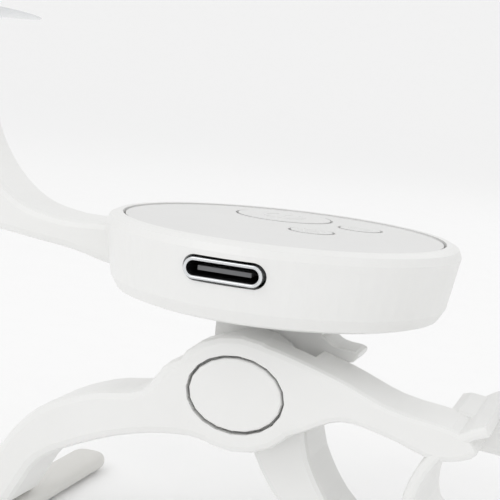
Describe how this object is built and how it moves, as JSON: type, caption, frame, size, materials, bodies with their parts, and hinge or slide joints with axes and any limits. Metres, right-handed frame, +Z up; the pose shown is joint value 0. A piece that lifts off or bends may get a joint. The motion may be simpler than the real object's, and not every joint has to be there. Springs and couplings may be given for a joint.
{
  "type": "mini palm drone",
  "caption": "White palm-sized drone: round pod with buttons and charging port over a pivoting yoke and leg, with a rotor post on each side",
  "frame": {"origin": "on the floor under the middle of the whole drone at rest", "axes": "+Z up along the pod's axis, -Y the front with the charging port and the hub cap, +X to the right along the longest side"},
  "size_m": [0.1064, 0.047, 0.0655],
  "materials": {
    "shell_white": "satin moulded ABS",
    "cover_white": "fine matt ABS",
    "port_steel": "bright steel",
    "port_black": "black liquid crystal polymer",
    "board_green": "solder mask",
    "cell_silver": "foil pouch",
    "foot_rubber": "soft silicone",
    "motor_metal": "turned can",
    "blade_plastic": "moulded polycarbonate"
  },
  "bodies": {
    "pod": {"pod_shell": "shell_white", "top_cover": "cover_white", "usb_c_shell": "port_steel", "usb_c_tongue": "port_black", "circuit_board": "board_green", "battery_cell": "cell_silver", "neck_bracket": "shell_white", "pivot_pin": "port_steel", "pin_retainer": "shell_white", "left_motor": "motor_metal", "left_motor_shaft": "port_steel"},
    "main_button": {"main_button": "cover_white"},
    "light_button": {"light_button": "cover_white"},
    "mode_button": {"mode_button": "cover_white"},
    "yoke": {"front_yoke": "shell_white", "hub_cap": "shell_white", "left_foot": "foot_rubber", "right_motor": "motor_metal", "right_motor_shaft": "port_steel"},
    "leg": {"lower_leg": "shell_white", "lower_foot": "foot_rubber"},
    "left_propeller": {"left_propeller": "blade_plastic"},
    "right_propeller": {"right_propeller": "blade_plastic"}
  },
  "joints": [
    {"name": "main_button_press", "type": "slide", "parent": "pod", "child": "main_button", "axis": [0, 0, -1], "range_m": [0, 0.0005], "stiffness_N_per_m": 300},
    {"name": "light_button_press", "type": "slide", "parent": "pod", "child": "light_button", "axis": [0, 0, -1], "range_m": [0, 0.0005], "stiffness_N_per_m": 300},
    {"name": "mode_button_press", "type": "slide", "parent": "pod", "child": "mode_button", "axis": [0, 0, -1], "range_m": [0, 0.0005], "stiffness_N_per_m": 300},
    {"name": "yoke_fold", "type": "hinge", "parent": "pod", "child": "yoke", "pos_m": [0.00117, -0.012, 0.0225], "axis": [0, 1, 0], "range_deg": [-10, 5]},
    {"name": "leg_swing", "type": "hinge", "parent": "pod", "child": "leg", "pos_m": [0.00117, -0.007, 0.0225], "axis": [0, 1, 0], "range_deg": [-3, 30]},
    {"name": "left_spin", "type": "hinge", "parent": "pod", "child": "left_propeller", "pos_m": [-0.04813, 0, 0.0632], "axis": [0, 0, 1], "continuous": true},
    {"name": "right_spin", "type": "hinge", "parent": "yoke", "child": "right_propeller", "pos_m": [0.04787, 0, 0.0632], "axis": [0, 0, 1], "continuous": true}
  ]
}
